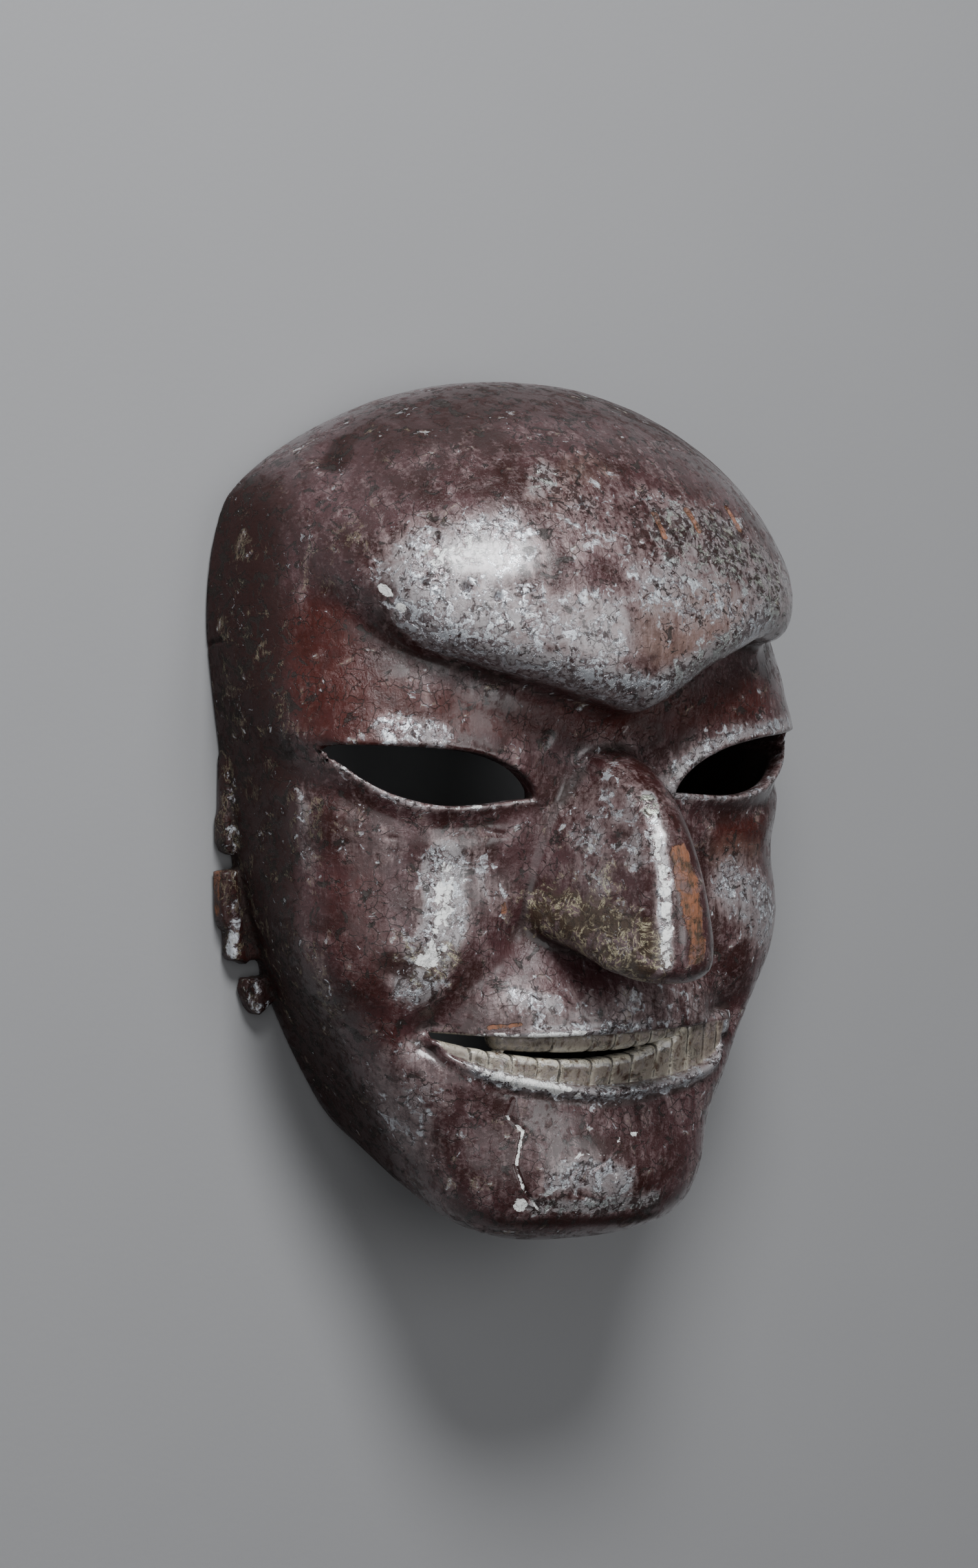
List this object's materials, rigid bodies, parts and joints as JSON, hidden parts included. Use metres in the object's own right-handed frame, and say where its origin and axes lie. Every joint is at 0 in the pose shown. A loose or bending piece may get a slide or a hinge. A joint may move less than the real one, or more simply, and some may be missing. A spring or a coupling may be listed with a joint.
{
  "type": "carved wooden face mask",
  "caption": "Hollow carved wooden mask of a grinning bald man: overhanging brow, slit eye holes, hooked nose, bared rows of teeth and small notched ears, in worn dark lacquer",
  "frame": {"origin": "middle of the mask's width and height, in the flat plane of its back rim, which is its lowest face as it lies", "axes": "+Z out of the face, which is up as the mask lies on its rim; +Y towards the crown; +X to a viewer's right when the face is looked at"},
  "size_m": [0.2008, 0.2745, 0.1261],
  "materials": {
    "lacquered_wood": "worn satin aubergine lacquer over carved wood, rubbed grey-silver on the high places, with bare orange wood and ivory painted teeth"
  },
  "bodies": {
    "root": {"mask": "lacquered_wood"}
  },
  "joints": []
}
